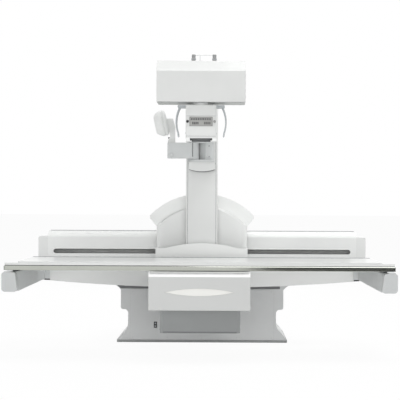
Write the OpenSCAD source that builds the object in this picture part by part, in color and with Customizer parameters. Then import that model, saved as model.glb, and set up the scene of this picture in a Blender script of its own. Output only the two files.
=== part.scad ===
// Remote-controlled tilting x-ray table with an over-table tube column.
// X runs along the tabletop, -Y is the side where the patient lies, Z is up.
// The origin is the centre of the floor anchors, on the floor. Millimetres.

/* [Tabletop] */
// Length of the flat patient panel
top_len = 2060; // [1800:10:2200]
// Depth of the tabletop, front to back
top_depth = 700; // [600:10:760]
// Thickness of the patient panel
top_thick = 22; // [15:1:30]
// Height of the patient panel's upper face, with the lift down
top_z = 565; // [555:1:600]
// Height of the table frame's members under the panel
frame_h = 21; // [16:1:24]
// How far the accessory rails reach past the panel at each end
rail_over = 70; // [60:1:100]
// Height of an accessory rail
rail_h = 25; // [22:1:34]
// Thickness of an accessory rail
rail_t = 10; // [8:1:14]

/* [Beam and arms] */
// Height of the tilt axis above the floor, with the lift down
tilt_z = 540; // [530:1:560]
// Width of each beam end cap, along the beam
beam_cap = 58; // [50:1:90]
// Depth of the main beam, front to back
beam_depth = 160; // [150:1:164]
// Height of the beam's upper edge
beam_top = 718; // [700:1:730]
// Height of the beam's end caps, a little lower than the beam
cap_top = 685; // [670:1:695]
// Height of the beam's lower edge at its ends
belly_end = 413; // [400:1:420]
// Height of the beam's lower edge at the middle
belly_mid = 365; // [350:1:380]
// Wall of the main beam
beam_wall = 6; // [5:0.5:9]
// Height of the long slot in the beam
slot_h = 28; // [22:1:32]
// Height of the slot's centre line
slot_z = 592; // [585:1:600]
// Width of an arm at its front end
arm_w = 82; // [70:1:95]
// Height of an arm at its front end
arm_h = 110; // [90:1:115]
// Depth of an arm's end cap
arm_cap = 95; // [60:1:130]

/* [Base and lift] */
// Length of the base's foot
foot_len = 1096; // [1000:2:1200]
// Length of the base's upper block
block_len = 1046; // [980:2:1090]
// Length of the base at its waist
waist_len = 952; // [900:2:970]
// Depth of the base
base_depth = 800; // [700:10:900]
// Height of the base casting
base_h = 372; // [340:1:380]
// Wall of the base casting
base_wall = 24; // [18:1:30]
// Travel of each of the two lift stages
stage_travel = 310; // [200:5:320]
// Radius of the tilt shaft
shaft_r = 45; // [35:1:50]
// Teeth of the tilt gear
gear_teeth = 60; // [48:2:60]
// Teeth of the tilt pinion
pinion_teeth = 12; // [10:1:14]
// Tooth module of the tilt gear
gear_module = 5; // [4:0.5:5]

/* [Scan carriage] */
// Width of the carriage cover
cover_w = 566; // [540:2:600]
// Radius of the arched top of the front cover
cover_r = 380; // [340:1:385]
// Radius of the arched top of the back cover
fan_r = 456; // [430:1:480]
// Width of the back cover across its wings
fan_w = 650; // [620:2:690]
// Height of the column's swing axis
swing_z = 500; // [490:1:520]
// Height of the apron's highest point
apron_top = 651; // [640:1:690]
// Width of the detector unit
detector_w = 566; // [500:2:600]
// Depth of the detector unit
detector_depth = 800; // [700:5:810]
// Height of the detector unit
detector_h = 212; // [190:1:220]
// Height of the lower detector housing
lower_h = 152; // [120:1:180]
// Length of the lens-shaped grip in the detector's front
grip_len = 388; // [300:2:420]
// Height of the lens-shaped grip
grip_h = 43; // [30:1:50]

/* [Column and tube] */
// Width of the column
column_w = 196; // [180:1:210]
// Depth of the column
column_d = 85; // [80:1:88]
// Height of the column's top
column_top = 1740; // [1650:5:1800]
// Wall of the column
column_wall = 6; // [4:0.5:8]
// Height of the tube axis, with the carrier down
tube_z = 1585; // [1560:1:1600]
// Width of the tube hood
hood_w = 516; // [480:2:560]
// Depth of the tube hood
hood_d = 270; // [250:1:285]
// Height of the hood's grey front face
hood_face = 178; // [150:1:190]
// Height of the hood's sloping top
hood_slope = 63; // [40:1:80]
// Wall of the tube hood
hood_wall = 4; // [3:0.5:6]
// Width of the collimator
coll_w = 179; // [160:1:190]
// Depth of the collimator
coll_d = 146; // [136:2:150]
// Height of the collimator
coll_h = 209; // [190:1:215]
// Radius of the compression cone
cone_r = 78; // [65:1:85]
// Bend radius of a handle's bow
bow_r = 190; // [150:5:260]

/* [Hidden] */
$fn = 64;

white = [0.93, 0.94, 0.94];
pale = [0.86, 0.88, 0.88];
grey = [0.62, 0.64, 0.65];
dark = [0.20, 0.21, 0.22];
steel = [0.72, 0.73, 0.74];
iron = [0.42, 0.43, 0.45];

run_gap = 0.3;      // gap between pieces that run on each other
seat_gap = 0.3;     // gap between a piece and its seat

// Planes that the pieces share, front (-Y) to back
base_front = -base_depth / 2;
beam_back = base_front - 40;
beam_front = beam_back - beam_depth;
plate_front = beam_front - 32;
back_cover_front = plate_front - 32;
cover_front = back_cover_front - 36;
column_back = cover_front - 15;
column_front = column_back - column_d;
apron_front = column_front - 30;
table_back = apron_front - 50;
table_front = table_back - top_depth;
detector_back = table_back - 20;
detector_front = detector_back - detector_depth;
carrier_front = column_front - 60;
tube_y = table_back - 370;
hood_back = tube_y + hood_d / 2 + 10;
hood_front = hood_back - hood_d;

// Heights that the pieces share
panel_under = top_z - top_thick;
frame_under = panel_under - frame_h;
arm_top = frame_under - 17;
arm_under = arm_top - arm_h;
cross_rail_h = 10;
detector_top = frame_under - 9;
detector_under = detector_top - detector_h;
lower_under = detector_under - lower_h;
pan_h = 21;
hood_under = tube_z - 101;
pan_under = hood_under - 2;
coll_top = hood_under - 16;
coll_under = coll_top - coll_h;

// Lengths that the pieces share
beam_half = top_len / 2;
beam_len = top_len - 2 * beam_cap;
arm_out = top_len / 2 + 85;
arm_in_front = arm_out - arm_w;
arm_in_back = arm_in_front - 45;
rail_half = top_len / 2 + rail_over;
rail_x = arm_out - 60;
slot_half = beam_len / 2 - 37;
web_half = 220;

// Points of an arc about (cx, cy), from angle a to angle b
function arc(cx, cy, r, a, b, n = 6) =
    [for (i = [0:n]) let (t = a + (b - a) * i / n) [cx + r * cos(t), cy + r * sin(t)]];

// Outline of a rectangle with rounded corners
function rounded(x0, x1, y0, y1, r, n = 5) = concat(
    arc(x1 - r, y1 - r, r, 0, 90, n), arc(x0 + r, y1 - r, r, 90, 180, n),
    arc(x0 + r, y0 + r, r, 180, 270, n), arc(x1 - r, y0 + r, r, 270, 360, n));

// Radius of the arc that rises by s over half a chord of length c
function bow(c, s) = (c * c + s * s) / (2 * s);

// Outline of a gear with plain trapezoid teeth, thin enough to run with backlash
function gear_points(teeth, m, slack) = [
    for (i = [0:teeth - 1]) for (k = [0:3])
        let (step = 360 / teeth, r = teeth * m / 2,
             foot = 0.29 * step, tip = 0.12 * step,
             a = i * step + [-foot, -tip, tip, foot][k],
             d = [r - 1.2 * m, r + 0.9 * m - slack, r + 0.9 * m - slack, r - 1.2 * m][k])
        [d * cos(a), d * sin(a)]];

module block(x0, x1, y0, y1, z0, z1) translate([x0, y0, z0]) cube([x1 - x0, y1 - y0, z1 - z0]);

// An outline drawn in X and Z, extruded from y0 to y1
module along_y(y0, y1) translate([0, y1, 0]) rotate([90, 0, 0]) linear_extrude(y1 - y0) children();

// An outline drawn in Y and Z, extruded from x0 to x1
module along_x(x0, x1) translate([x0, 0, 0]) rotate([90, 0, 90]) linear_extrude(x1 - x0) children();

// An outline drawn in X and Y, extruded from z0 to z1
module along_z(z0, z1) translate([0, 0, z0]) linear_extrude(z1 - z0) children();

module rod_x(x0, x1, y, z, r) translate([x0, y, z]) rotate([0, 90, 0]) cylinder(h = x1 - x0, r = r);
module rod_y(x, y0, y1, z, r) translate([x, y1, z]) rotate([90, 0, 0]) cylinder(h = y1 - y0, r = r);
module rod_z(x, y, z0, z1, r) translate([x, y, z0]) cylinder(h = z1 - z0, r = r);

// The same piece on the left and on the right
module both_sides() for (m = [0, 1]) mirror([m, 0, 0]) children();

// A tube along a path of points, as one closed skin with flat ends
module sweep(path, r, sides = 8) {
    last = len(path) - 1;
    function dir(i) = let (d = path[min(i + 1, last)] - path[max(i - 1, 0)]) d / norm(d);
    function ring(i) = let (d = dir(i), u = [1, 0, 0] - d * d.x, a = u / norm(u), b = cross(d, a))
        [for (k = [0:sides - 1]) path[i] + r * (cos(360 * k / sides) * a + sin(360 * k / sides) * b)];
    points = [for (i = [0:last]) each ring(i)];
    walls = [for (i = [0:last - 1]) for (k = [0:sides - 1])
        let (j = (k + 1) % sides, m = i * sides) each
        [[m + k, m + sides + k, m + sides + j], [m + k, m + sides + j, m + j]]];
    polyhedron(concat(points), concat(walls, [[for (k = [0:sides - 1]) k]],
        [[for (k = [sides - 1:-1:0]) last * sides + k]]));
}

// ---- Base ----

anchor_x = foot_len / 2 - 43;
anchor_y = base_depth / 2 - 60;
anchor_r = 7;
plate_t = 15;
well_x = waist_len / 2 - base_wall;
well_front = base_front + 20 + base_wall;
well_back = base_depth / 2 - base_wall;

module at_anchors() for (x = [-anchor_x, anchor_x], y = [-anchor_y, anchor_y])
    translate([x, y, 0]) children();

module base_plate() color(grey) difference() {
    along_z(0, plate_t) polygon(rounded(-foot_len / 2, foot_len / 2, base_front, base_depth / 2, 12, 4));
    at_anchors() rod_z(0, 0, -1, plate_t + 1, anchor_r);
}

// One side of the anvil outline, from the foot up
function anvil_side() = let (f = foot_len / 2 - 8, w = waist_len / 2, b = block_len / 2) concat(
    [[f, plate_t], [f, plate_t + 9], [w + 38, 52]], arc(w + 90, 128, 90, 222, 180, 5),
    [[w, 195], [w + 12, 210]], arc(b - 14, 226, 14, 290, 360, 4),
    [[b, base_h - 35], [b + 12, base_h - 20], [b + 40, base_h]]);

module base_casting() color(white) difference() {
    side = anvil_side();
    along_y(base_front + panel_t, base_depth / 2)
        polygon(concat(side, [for (i = [len(side) - 1:-1:0]) [-side[i].x, side[i].y]]));
    block(-well_x, well_x, well_front, well_back, plate_t - 1, base_h + 1);
    at_anchors() rod_z(0, 0, plate_t - 1, 130, 22);
}

panel_half = waist_len / 2 - 16;
panel_top = base_h - 32;
panel_t = 5;
socket_x = -300;
socket_z = 113;

module base_front_panel() color(white) difference() {
    along_y(base_front, base_front + panel_t)
        polygon(rounded(-panel_half, panel_half, 18, panel_top, 12, 4));
    block(socket_x - 10, socket_x + 10, base_front - 1, base_front + panel_t + 1,
        socket_z - 20, socket_z + 20);
}

module service_socket() color(dark) {
    along_y(base_front - 2, base_front + panel_t)
        polygon(rounded(socket_x - 10 + seat_gap, socket_x + 10 - seat_gap,
            socket_z - 20 + seat_gap, socket_z + 20 - seat_gap, 3, 3));
}

module ballast() color(iron) difference() {
    block(-well_x + seat_gap, well_x - seat_gap, 60, well_back - seat_gap, plate_t, base_h - 32);
    for (x = [-260, 260]) rod_z(x, 210, base_h - 90, base_h, 12);
}

// ---- Lift ----

mast_front = well_front + 6;
mast_t = 12;
mast_in = 283;
mast_out = 345;
mast_depth = 110;
mast_top = 655;
channel_y0 = mast_front + mast_t;
channel_y1 = mast_front + mast_depth - mast_t;
stage_y0 = channel_y0 + 0.5;
stage_y1 = channel_y1 - 0.5;
stage_out = mast_out - mast_t - 0.5;
stage_in = stage_out - 70.5;
roller_gap0 = stage_y0 + mast_t;
roller_gap1 = stage_y1 - mast_t;
mast_y = (stage_y0 + stage_y1) / 2;
roller_r = (roller_gap1 - roller_gap0) / 2 - run_gap;
lower_cyl_x = 205;
upper_cyl_x = 150;
lower_cyl_top = plate_t + stage_travel + 40;
bracket_z = lower_cyl_top + 15;
beam_z0 = 50;
beam_z1 = 90;
upper_cyl_top = beam_z1 + stage_travel + 35;
carriage_half = 300;
carriage_z0 = 400;
carriage_z1 = 680;

module mast_uprights() color(iron) both_sides() {
    difference() {
        block(mast_in, mast_out, mast_front, mast_front + mast_depth, plate_t, mast_top);
        block(mast_in - 1, mast_out - mast_t, channel_y0, channel_y1, plate_t - 1, mast_top + 1);
    }
    along_x(mast_out - mast_t, mast_out)
        polygon([[mast_front + mast_depth - 1, plate_t], [mast_front + mast_depth - 1, mast_top - 30],
            [mast_front + mast_depth + 20, mast_top - 30], [30, 60], [30, plate_t]]);
}

module lift_cylinders() color(steel) both_sides() difference() {
    union() {
        rod_z(lower_cyl_x, mast_y, plate_t, lower_cyl_top, 24);
        rod_z(lower_cyl_x, mast_y, plate_t, plate_t + 12, 26);
    }
    rod_z(lower_cyl_x, mast_y, plate_t + 5, lower_cyl_top + 1, 14 + run_gap);
}

module stage_frame() color(grey) difference() {
    union() {
        both_sides() {
            difference() {
                block(stage_in, stage_out, stage_y0, stage_y1, beam_z0, mast_top - 5);
                block(stage_in - 1, stage_out - mast_t, roller_gap0, roller_gap1, beam_z1, mast_top);
            }
            block(lower_cyl_x - 20, stage_in + 1, stage_y0, stage_y1, bracket_z, bracket_z + 15);
        }
        block(-stage_in - 1, stage_in + 1, stage_y0, stage_y1, beam_z0, beam_z1);
    }
    both_sides() rod_z(lower_cyl_x, mast_y, beam_z0 - 1, beam_z1 + 1, 28);
}

module lift_rods() color(steel) both_sides()
    rod_z(lower_cyl_x, mast_y, plate_t + 10, bracket_z, 14);

module upper_cylinders() color(steel) both_sides() difference() {
    rod_z(upper_cyl_x, mast_y, beam_z1, upper_cyl_top, 22);
    rod_z(upper_cyl_x, mast_y, beam_z1 + 5, upper_cyl_top + 1, 12 + run_gap);
}

plate_y0 = mast_front - 27;
plate_y1 = mast_front - 7;
cheek_x = stage_in - 4;
housing_back = mast_y + 50;
gear_y0 = housing_back + 10;
gear_y1 = gear_y0 + 30;
mesh_r = gear_module * (gear_teeth + pinion_teeth) / 2;
pinion_x = -mesh_r * cos(45);
pinion_z = tilt_z - mesh_r * sin(45);
bush_r = shaft_r + 10;
motor_front = gear_y1 + 17;
motor_plate_x = 236;
motor_plate_top = 480;

module lift_carriage() color(grey) difference() {
    union() {
        along_y(plate_y0, plate_y1)
            polygon(rounded(-carriage_half, carriage_half, carriage_z0, carriage_z1, 20, 4));
        rod_y(0, beam_back + 25, housing_back, tilt_z, bush_r + 23);
        both_sides() {
            block(cheek_x - 22, cheek_x, plate_y1 - 1, roller_gap1, carriage_z0 + 10, carriage_z1 - 10);
            block(upper_cyl_x - 18, upper_cyl_x + 18, plate_y1 - 1, mast_y + 15,
                upper_cyl_top + 5, upper_cyl_top + 20);
        }
        block(-motor_plate_x, -motor_plate_x + 16, plate_y1 - 1, motor_front, 412, motor_plate_top);
        along_y(motor_front - 12, motor_front)
            polygon(rounded(-motor_plate_x, pinion_x + 62, pinion_z - 62, motor_plate_top, 14, 4));
    }
    rod_y(0, beam_back, housing_back + 1, tilt_z, bush_r + 0.05);
    rod_y(pinion_x, motor_front - 13, motor_front + 1, pinion_z, 18);
}

module lift_rollers() color(steel) both_sides() for (z = [carriage_z0 + 45, carriage_z1 - 45]) {
    rod_x(cheek_x, stage_in + 14, mast_y, z, 10);
    rod_x(stage_in + 13, stage_out - mast_t - 2, mast_y, z, roller_r);
}

module upper_rods() color(steel) both_sides()
    rod_z(upper_cyl_x, mast_y, beam_z1 + 8, upper_cyl_top + 5, 12);

tower_half = mast_out + 59;
tower_top = 690;
tower_t = 4;
tower_lip = 98;
tower_front = base_front + 12;
tower_back = motor_front + 162;

// Fixed cover round the mast: a deck on the base, two sides, and a back that slopes down to it
module tower_cover() color(white) {
    difference() {
        along_z(base_h, base_h + tower_t)
            polygon(rounded(-block_len / 2 - 34, block_len / 2 + 34,
                base_front + 24, base_depth / 2 - 4, 10, 4));
        block(-tower_half + 4, tower_half - 4, tower_front - 20, tower_back + 250, base_h - 1, base_h + 5);
    }
    difference() {
        along_x(-tower_half, tower_half) polygon([[tower_front, base_h + 1], [tower_front, tower_top],
            [tower_back, tower_top], [tower_back + 40, tower_top - 45], [tower_back + 256, base_h + 1]]);
        along_x(-tower_half + tower_t, tower_half - tower_t) polygon([[tower_front - 1, base_h],
            [tower_front - 1, tower_top + 1], [tower_back - tower_t, tower_top + 1],
            [tower_back + 36, tower_top - 47], [tower_back + 251, base_h]]);
    }
    both_sides() block(tower_half - tower_lip, tower_half - 1, tower_front, tower_front + tower_t,
        base_h + 1, tower_top);
}

// ---- Tilt drive ----

module tilt_bearing() color([0.75, 0.6, 0.35]) difference() {
    rod_y(0, beam_back + 25, housing_back, tilt_z, bush_r);
    rod_y(0, beam_back + 24, housing_back + 1, tilt_z, shaft_r + 0.05);
}

module tilt_motor() color(dark) difference() {
    union() {
        rod_y(pinion_x, motor_front, motor_front + 60, pinion_z, 56);
        rod_y(pinion_x, motor_front + 60, motor_front + 128, pinion_z, 46);
    }
    rod_y(pinion_x, motor_front - 1, motor_front + 30, pinion_z, 10 + run_gap);
}

cover_half = stage_in - 17;
drive_z0 = 346;
drive_z1 = 697;
drive_wall = 3;
drive_y0 = mast_front + mast_depth + 1;

module drive_cover() color(white) difference() {
    block(-cover_half, cover_half, drive_y0, motor_front + 150, drive_z0, drive_z1);
    block(-cover_half + drive_wall, cover_half - drive_wall, drive_y0 - 1, motor_front + 150 - drive_wall,
        drive_z0 + drive_wall, drive_z1 - drive_wall);
}

module tilt_pinion() color(steel) {
    translate([pinion_x, gear_y1 + 1, pinion_z]) rotate([90, 0, 0]) rotate(pinion_phase)
        linear_extrude(gear_y1 - gear_y0 + 2) polygon(gear_points(pinion_teeth, gear_module, 0.5));
    rod_y(pinion_x, gear_y1, motor_front + 25, pinion_z, 10);
}

// Turn of the pinion that puts a tooth gap where the gear has a tooth
pinion_phase = 45 - 180 / pinion_teeth;

module tilt_gear() color(steel) difference() {
    translate([0, gear_y1, tilt_z]) rotate([90, 0, 0])
        rotate(gear_phase) linear_extrude(gear_y1 - gear_y0)
            polygon(gear_points(gear_teeth, gear_module, 0.5));
    rod_y(0, gear_y0 - 1, gear_y1 + 1, tilt_z, shaft_r + 0.05);
    for (a = [0:60:300])
        rod_y(web_hole_ring * cos(a), gear_y0 - 1, gear_y1 + 1,
            tilt_z + web_hole_ring * sin(a), web_hole_r);
}

web_hole_ring = 95;
web_hole_r = 24;

// Turn of the gear that puts a tooth on the line to the pinion
gear_phase = 225 - floor(225 * gear_teeth / 360) * 360 / gear_teeth;

flange_r = 120;
flange_t = 15;

module tilt_shaft() color(steel) {
    rod_y(0, beam_back, beam_back + flange_t, tilt_z, flange_r);
    rod_y(0, beam_back + flange_t - 1, gear_y1 + 6, tilt_z, shaft_r);
}

// ---- Main beam and arms ----

// The beam's section in Y and Z, moved inwards by w
function beam_section(w = 0) = let (f = beam_front + w, b = beam_back - w, t = beam_top - w) [
    [f, 300], [f, t - 35], [f + 4, t - 26], [f + 13, t - 19], [f + 42, t - 16],
    [f + 50, t - 4], [f + 58, t], [b, t], [b, 300]];

// The beam's outline from the front, with a bowed lower edge moved inwards by w
function belly(half, w = 0) = let (drop = belly_end - belly_mid, r = bow(beam_half, drop),
        a = asin(half / r))
    concat(arc(0, belly_mid + w + r, r, 270 - a, 270 + a, 24), [[half, 900], [-half, 900]]);

module beam_body(half, w) intersection() {
    along_x(-half, half) polygon(beam_section(w));
    along_y(beam_front - 10, beam_back + 10) polygon(belly(half, w));
}

module slot_outline(half, h) {
    r = h / 2;
    polygon(concat(arc(half - r, slot_z, r, -90, 90, 8), arc(-half + r, slot_z, r, 90, 270, 8)));
}

module main_beam() color(white) difference() {
    beam_body(beam_len / 2, 0);
    beam_body(beam_len / 2 - beam_wall, beam_wall);
    along_y(beam_front - 1, beam_front + beam_wall + 1) slot_outline(slot_half, slot_h);
}

module beam_caps() color(pale) difference() {
    cap_r = 12;
    intersection() {
        beam_body(beam_half, 0);
        along_y(beam_front - 1, beam_back + 1)
            polygon(rounded(-beam_half, beam_half, belly_mid - 2 * cap_r, cap_top, cap_r, 5));
    }
    intersection() {
        beam_body(beam_half - beam_wall, beam_wall);
        block(-beam_half, beam_half, beam_front, beam_back, belly_mid, cap_top - beam_wall);
    }
    block(-beam_len / 2, beam_len / 2, beam_front - 1, beam_back + 1, 300, beam_top + 1);
}

rail_y0 = beam_back - beam_wall - 24;
rail_rise = 64;
lower_rail_z = slot_z - rail_rise;
upper_rail_z = slot_z + rail_rise;
rail_half_t = 10;
truck_roller_r = 22;

module scan_rails() color(steel) for (z = [lower_rail_z, upper_rail_z])
    block(-beam_len / 2 + 40, beam_len / 2 - 40, rail_y0, beam_back - beam_wall,
        z - rail_half_t, z + rail_half_t);

arm_front = table_front - 20;
cap_back = arm_front + arm_cap;
arm_back = beam_back - 30;

module arm_plan(w = 0) polygon(concat(
    [[arm_in_front + w, cap_back + w], [arm_out - w, cap_back + w]],
    arc(arm_out - 40, arm_back - 40, 40 - w, 0, 90, 5),
    [[beam_half + w, arm_back - w], [beam_half + w, beam_front - w], [arm_in_back + w, beam_front - w]]));

module arm_side(w = 0) polygon([[cap_back, arm_under + w], [beam_front - 60, arm_under + 20 + w],
    [arm_back, arm_under + 23 + w], [arm_back, arm_top - w], [cap_back, arm_top - w]]);

module arm() difference() {
    intersection() {
        along_z(arm_under - 5, arm_top + 5) arm_plan();
        along_x(arm_in_back - 10, arm_out + 10) arm_side();
    }
    difference() {
        along_z(arm_under - 5, arm_top - 9) arm_plan(9);
        for (y = [cap_back + 220 : 220 : beam_front - 60])
            block(arm_in_back, arm_out, y - 4, y + 4, arm_under - 6, arm_top);
    }
}

module arm_left() color(pale) mirror([1, 0, 0]) arm();
module arm_right() color(pale) arm();

// Outline of an arm cap, wider at the bottom, with rounded corners
module cap_outline() polygon(concat(
    arc(arm_out - 14, arm_top - 14, 14, 0, 90, 5), arc(arm_in_front + 20, arm_top - 14, 14, 90, 165, 5),
    arc(arm_in_front + 11, arm_under + 16, 16, 180, 270, 5),
    arc(arm_out - 20, arm_under + 20, 20, 270, 360, 5)));

module arm_caps() color(pale) both_sides() difference() {
    along_y(arm_front, cap_back) cap_outline();
    block(arm_in_front + 16, arm_out - 12, arm_front + 12, cap_back + 1, arm_under + 12, arm_top - 12);
}

module cross_rails() color(steel) both_sides()
    block(rail_x - 10, rail_x + 10, cap_back + 5, beam_front - 50, arm_top, arm_top + cross_rail_h);

// ---- Tabletop ----

lip = 18;
lip_drop = 6;
side_in = rail_x - 62;
side_out = rail_x + 22;

module top_panel() color([0.90, 0.91, 0.90]) along_z(panel_under, top_z)
    polygon(rounded(-top_len / 2, top_len / 2, table_front + lip + seat_gap, table_back, 14, 5));

module table_frame() color(white) {
    block(-rail_half, rail_half, table_front, table_front + 35, frame_under, panel_under);
    block(-rail_half, rail_half, table_front, table_front + lip, panel_under - 1, top_z - lip_drop);
    block(-side_out, side_out, table_back - 35, table_back, frame_under, panel_under);
    both_sides() block(side_in, side_out, table_front + 34, table_back - 34, frame_under, panel_under);
}

// Section of an accessory rail with rounded edges, its back at Y = 0
module rail_section() polygon([[0, 3], [0, rail_h - 3], [-2, rail_h - 1], [-rail_t + 2, rail_h],
    [-rail_t, rail_h - 2], [-rail_t, 2], [-rail_t + 2, 0], [-2, 1]]);

module accessory_rails() color(steel) {
    translate([0, table_front, frame_under - 5]) along_x(-rail_half, rail_half) rail_section();
    translate([0, table_back, frame_under - 2]) mirror([0, 1, 0])
        along_x(-top_len / 2 + 40, top_len / 2 - 40) rail_section();
}

shoe_len = 80;

module slide_shoes() color(dark) both_sides()
    for (y = [table_front + 340, table_back - shoe_len]) difference() {
        block(rail_x - 22, rail_x + 22, y, y + shoe_len, arm_top + 2, frame_under);
        block(rail_x - 10 - run_gap, rail_x + 10 + run_gap, y - 1, y + shoe_len + 1,
            arm_top, arm_top + cross_rail_h + run_gap);
    }

// ---- Scan carriage ----

hub_r = 60;
spindle_r = 40;
cover_under = 396;
foot_gap = 6;
web_h = slot_h - 7;
truck_y0 = beam_front + beam_wall + 6;
truck_y1 = rail_y0 - 20;
truck_rise = 52;
plate_half = 250;
plate_deep = 20;
plate_top = 740;

module scan_truck() color(grey) difference() {
    union() {
        along_y(plate_front, plate_front + plate_deep)
            polygon(rounded(-plate_half, plate_half, cover_under - 84, plate_top, 20, 4));
        block(-web_half, web_half, plate_front + plate_deep - 1, truck_y0 + 1,
            slot_z - web_h / 2, slot_z + web_h / 2);
        block(-web_half, web_half, truck_y0, truck_y1, slot_z - truck_rise, slot_z + truck_rise);
    }
    rod_y(0, plate_front - 1, plate_front + plate_deep + 1, swing_z, spindle_r + run_gap);
    block(-web_half + 50, web_half - 50, truck_y0 + 12, truck_y1 + 1,
        slot_z - truck_rise + 12, slot_z + truck_rise - 12);
}

module truck_rollers() color(steel) for (x = [-web_half + 30, web_half - 30], s = [-1, 1]) {
    z = slot_z + s * (rail_rise - rail_half_t - truck_roller_r - run_gap);
    rod_y(x, truck_y1, rail_y0 + 2, z, 8);
    rod_y(x, rail_y0 + 1, rail_y0 + 20, z, truck_roller_r);
}

// Outline of the winged back cover, moved inwards by w
module fan_outline(w = 0) {
    half = fan_w / 2 - w;
    r = fan_r - w;
    a = acos(half / r);
    polygon(concat(arc(0, swing_z, r, a, 180 - a, 24), [[-half, 802], [-cover_w / 2 + 4 + w, 745 + w],
        [-cover_w / 2 + 8 + w, cover_under + w], [cover_w / 2 - 8 - w, cover_under + w],
        [cover_w / 2 - 4 - w, 745 + w], [half, 802]]));
}

module carriage_back() color(pale) difference() {
    along_y(back_cover_front, plate_front - seat_gap) fan_outline();
    along_y(back_cover_front + 4, plate_front) fan_outline(4);
    rod_y(0, back_cover_front - 1, plate_front, swing_z, hub_r + 4);
}

// Outline of the arched front cover, moved inwards by w
module arch_outline(w = 0) {
    half = cover_w / 2 - w;
    r = cover_r - w;
    a = acos(half / r);
    polygon(concat(arc(0, swing_z, r, a, 180 - a, 24),
        [[-half, cover_under + w], [half, cover_under + w]]));
}

apron_half = 222;
apron_shoulder = apron_top - 31;
cover_wall = 4;
cover_edge_r = 30;
arch_bevel = 11;

// The arched cover's body, moved inwards by w: its upright edges are rounded above the apron
module cover_body(w = 0) intersection() {
    half = cover_w / 2 - w;
    along_y(cover_front + w, back_cover_front + min(w, 1)) arch_outline(w);
    union() {
        along_z(apron_shoulder - 20, apron_shoulder + cover_r)
            polygon(rounded(-half, half, cover_front + w, cover_front + cover_w, cover_edge_r - w, 4));
        block(-half, half, cover_front, back_cover_front + 1, cover_under, apron_shoulder - 19);
    }
}

// Front edge of the arch, turned to a bevel about the column's swing axis
module arch_edge() translate([0, cover_front - 1, swing_z]) rotate([-90, 0, 0]) difference() {
    cylinder(h = arch_bevel + 4, r = cover_r + 20, $fn = 128);
    translate([0, 0, -1])
        cylinder(h = arch_bevel + 6, r1 = cover_r - arch_bevel - 1, r2 = cover_r + 5, $fn = 128);
}

module carriage_cover() color(white) difference() {
    cover_body();
    cover_body(cover_wall);
    arch_edge();
    rod_y(0, cover_front - 1, back_cover_front + 1, swing_z, hub_r + 4);
}

// Outline of the apron: an arch between two level shoulders
module apron_outline() {
    r = bow(apron_half, apron_top - apron_shoulder);
    a = asin(apron_half / r);
    polygon(concat(arc(0, apron_top - r, r, 90 - a, 90 + a, 16),
        [[-cover_w / 2, apron_shoulder], [-cover_w / 2, cover_under],
         [cover_w / 2, cover_under], [cover_w / 2, apron_shoulder]]));
}

module carriage_apron() color(white) {
    along_y(apron_front, apron_front + 15) apron_outline();
    both_sides() block(cover_w / 2 - 12, cover_w / 2, apron_front + 14, cover_front,
        cover_under, apron_shoulder);
}

bridge_half = 200;
bridge_wall = 8;
bridge_z0 = detector_under + 11;
bridge_z1 = cover_under - 4;

module detector_bridge() color(grey) difference() {
    block(-bridge_half, bridge_half, detector_back, plate_front, bridge_z0, bridge_z1);
    block(-bridge_half + bridge_wall, bridge_half - bridge_wall, detector_back - 1, plate_front + 1,
        bridge_z0 + bridge_wall, bridge_z1 - bridge_wall);
}

detector_wall = 4;
detector_edge_r = 32;
face_wall = 16;
grip_deep = 5;
grip_z = detector_under + 102;
tube_port = 185;

// Outline of the lens-shaped grip, moved inwards by w
module grip_outline(w = 0) {
    l = grip_len / 2 - w * 4;
    h = grip_h / 2 - w;
    r = bow(l, h);
    a = asin(l / r);
    polygon(concat(arc(0, grip_z + h - r, r, 90 - a, 90 + a, 12),
        arc(0, grip_z - h + r, r, 270 - a, 270 + a, 12)));
}

module detector_housing() color(white) difference() {
    r = detector_edge_r;
    along_x(-detector_w / 2, detector_w / 2) polygon(concat(
        arc(detector_front + r, detector_top - r, r, 180, 90, 6),
        [[detector_back, detector_top], [detector_back, detector_under]],
        arc(detector_front + 6, detector_under + 6, 6, 270, 180, 3)));
    along_x(-detector_w / 2 + detector_wall, detector_w / 2 - detector_wall) polygon([
        [detector_front + face_wall, detector_top - r],
        [detector_front + r, detector_top - detector_wall],
        [detector_back - detector_wall, detector_top - detector_wall],
        [detector_back - detector_wall, detector_under + detector_wall],
        [detector_front + face_wall, detector_under + detector_wall]]);
    along_y(detector_front - 1, detector_front + grip_deep) grip_outline();
    rod_z(0, (lower_front + lower_back) / 2, detector_under - 1, detector_under + 10, tube_port + 6);
}

module grip_inset() color([0.97, 0.97, 0.95])
    along_y(detector_front + grip_deep - 3, detector_front + grip_deep) grip_outline(0.4);

lower_half = detector_w / 2 - 51;
lower_front = detector_front + 300;
lower_back = detector_back - 100;

module lower_housing() color(grey) difference() {
    along_z(lower_under, detector_under)
        polygon(rounded(-lower_half, lower_half, lower_front, lower_back, 25, 5));
    along_z(lower_under + 4, detector_under + 1)
        polygon(rounded(-lower_half + 4, lower_half - 4, lower_front + 4, lower_back - 4, 21, 5));
}

module image_intensifier() color(steel) translate([0, (lower_front + lower_back) / 2, lower_under + 4])
    rotate_extrude() polygon([[0, 0], [140, 0], [140, 150], [tube_port, 190],
        [tube_port, detector_top - lower_under - 16], [tube_port - 6, detector_top - lower_under - 16],
        [tube_port - 6, 194], [134, 154], [134, 6], [0, 6]]);

// ---- Column ----

channel_z0 = 1125;
channel_z1 = column_top - 18;
column_edge_r = 13;

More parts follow.
